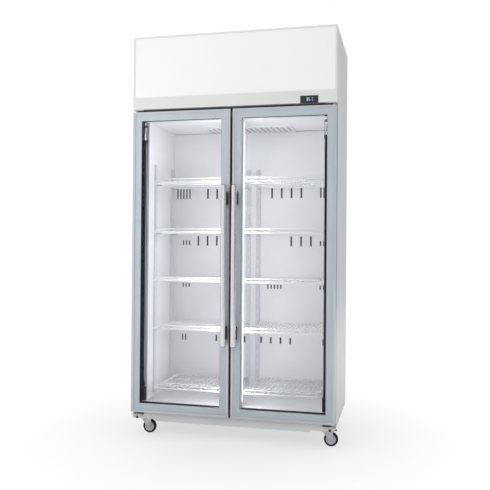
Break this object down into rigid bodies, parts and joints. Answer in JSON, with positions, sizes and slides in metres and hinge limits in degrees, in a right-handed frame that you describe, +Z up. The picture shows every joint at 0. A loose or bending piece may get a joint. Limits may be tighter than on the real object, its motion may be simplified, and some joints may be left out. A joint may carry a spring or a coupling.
{
  "type": "glass door merchandiser",
  "caption": "Upright two-door glass display fridge with a lit header sign, wire shelves, bar handles and a top-mounted condensing unit, standing on four castors.",
  "frame": {"origin": "bounding-box bottom centre, on the floor", "axes": "+Z up, X across the width with -X the viewer's left, -Y the front with the doors and header, +Y the back"},
  "size_m": [1.149, 0.68, 2.21],
  "materials": {
    "white_steel": "satin",
    "galvanised": "satin",
    "foam": "matte",
    "white_plastic": "satin",
    "black_plastic": "satin",
    "led": "satin",
    "aluminium": "satin",
    "grey_steel": "satin",
    "zinc": "satin",
    "dark_steel": "satin",
    "sign_acrylic": "satin",
    "black_gloss": "gloss",
    "black_steel": "gloss",
    "grey_plastic": "satin",
    "copper": "satin",
    "shelf_wire": "satin",
    "door_glass": "gloss",
    "gasket": "matte",
    "handle_grey": "satin",
    "castor_tyre": "matte",
    "dark_plastic": "satin"
  },
  "bodies": {
    "cabinet": {"left_side_panel": "white_steel", "right_side_panel": "white_steel", "back_panel": "galvanised", "unit_deck": "galvanised", "base_tray": "white_steel", "insulation": "foam", "inner_liner": "white_steel", "front_frame": "white_plastic", "breaker_strips": "black_plastic", "led_strips": "led", "back_duct_panel": "white_steel", "evaporator_cover": "white_plastic", "evaporator_coil": "aluminium", "evaporator_fan_frames": "galvanised", "shelf_uprights": "grey_steel", "shelf_clips": "zinc", "shelf_level_1": "shelf_wire", "shelf_level_2": "shelf_wire", "shelf_level_3": "shelf_wire", "shelf_level_4": "shelf_wire", "shelf_level_5": "shelf_wire", "hinge_brackets": "dark_steel", "header_frame": "white_steel", "light_panel": "sign_acrylic", "sign_light_tray": "white_steel", "controller": "black_gloss", "castor_plates": "zinc", "compressor": "black_steel", "condenser_coil": "aluminium", "condenser_fan_shroud": "dark_steel", "refrigerant_pipes": "copper", "rear_grille": "white_steel", "power_box": "dark_plastic"},
    "left_door": {"left_door_frame": "aluminium", "left_door_glass": "door_glass", "left_door_inner_frame": "black_plastic", "left_door_gasket": "gasket", "left_door_handle": "handle_grey", "left_door_handle_posts": "black_plastic", "left_door_closer": "zinc"},
    "right_door": {"right_door_frame": "aluminium", "right_door_glass": "door_glass", "right_door_inner_frame": "black_plastic", "right_door_gasket": "gasket", "right_door_handle": "handle_grey", "right_door_handle_posts": "black_plastic", "right_door_closer": "zinc"},
    "front_left_castor": {"front_left_fork": "zinc"},
    "front_left_castor_wheel": {"front_left_wheel": "castor_tyre"},
    "front_right_castor": {"front_right_fork": "zinc"},
    "front_right_castor_wheel": {"front_right_wheel": "castor_tyre"},
    "rear_left_castor": {"rear_left_fork": "zinc"},
    "rear_left_castor_wheel": {"rear_left_wheel": "castor_tyre"},
    "rear_right_castor": {"rear_right_fork": "zinc"},
    "rear_right_castor_wheel": {"rear_right_wheel": "castor_tyre"},
    "front_left_castor_brake": {"front_left_brake": "dark_plastic"},
    "front_right_castor_brake": {"front_right_brake": "dark_plastic"},
    "left_cold_fan": {"left_evaporator_fan": "black_plastic"},
    "right_cold_fan": {"right_evaporator_fan": "black_plastic"},
    "condenser_blower": {"condenser_fan": "grey_plastic"}
  },
  "joints": [
    {"name": "left_door_hinge", "type": "hinge", "parent": "cabinet", "child": "left_door", "pos_m": [-0.551, -0.266, 0.13], "axis": [0, 0, -1], "range_deg": [0, 105], "stiffness_Nm_per_rad": 0.6},
    {"name": "right_door_hinge", "type": "hinge", "parent": "cabinet", "child": "right_door", "pos_m": [0.551, -0.266, 0.13], "axis": [0, 0, 1], "range_deg": [0, 105], "stiffness_Nm_per_rad": 0.6},
    {"name": "front_left_swivel", "type": "hinge", "parent": "cabinet", "child": "front_left_castor", "pos_m": [-0.509, -0.208, 0.085], "axis": [0, 0, 1], "continuous": true},
    {"name": "front_left_wheel_spin", "type": "hinge", "parent": "front_left_castor", "child": "front_left_castor_wheel", "pos_m": [-0.481, -0.208, 0.0375], "axis": [0, 1, 0], "continuous": true},
    {"name": "front_right_swivel", "type": "hinge", "parent": "cabinet", "child": "front_right_castor", "pos_m": [0.509, -0.208, 0.085], "axis": [0, 0, 1], "continuous": true},
    {"name": "front_right_wheel_spin", "type": "hinge", "parent": "front_right_castor", "child": "front_right_castor_wheel", "pos_m": [0.537, -0.208, 0.0375], "axis": [0, 1, 0], "continuous": true},
    {"name": "rear_left_swivel", "type": "hinge", "parent": "cabinet", "child": "rear_left_castor", "pos_m": [-0.509, 0.248, 0.085], "axis": [0, 0, 1], "continuous": true},
    {"name": "rear_left_wheel_spin", "type": "hinge", "parent": "rear_left_castor", "child": "rear_left_castor_wheel", "pos_m": [-0.537, 0.248, 0.0375], "axis": [0, 1, 0], "continuous": true},
    {"name": "rear_right_swivel", "type": "hinge", "parent": "cabinet", "child": "rear_right_castor", "pos_m": [0.509, 0.248, 0.085], "axis": [0, 0, 1], "continuous": true},
    {"name": "rear_right_wheel_spin", "type": "hinge", "parent": "rear_right_castor", "child": "rear_right_castor_wheel", "pos_m": [0.481, 0.248, 0.0375], "axis": [0, 1, 0], "continuous": true},
    {"name": "front_left_brake_pedal", "type": "hinge", "parent": "front_left_castor", "child": "front_left_castor_brake", "pos_m": [-0.475, -0.208, 0.081], "axis": [0, 1, 0], "range_deg": [0, 12]},
    {"name": "front_right_brake_pedal", "type": "hinge", "parent": "front_right_castor", "child": "front_right_castor_brake", "pos_m": [0.543, -0.208, 0.081], "axis": [0, 1, 0], "range_deg": [0, 12]},
    {"name": "left_evaporator_fan_spin", "type": "hinge", "parent": "cabinet", "child": "left_cold_fan", "pos_m": [-0.17, 0.187, 1.778], "axis": [0, 0, 1], "continuous": true},
    {"name": "right_evaporator_fan_spin", "type": "hinge", "parent": "cabinet", "child": "right_cold_fan", "pos_m": [0.17, 0.187, 1.778], "axis": [0, 0, 1], "continuous": true},
    {"name": "condenser_fan_spin", "type": "hinge", "parent": "cabinet", "child": "condenser_blower", "pos_m": [0.205, 0.209, 2.031], "axis": [0, 1, 0], "continuous": true}
  ]
}
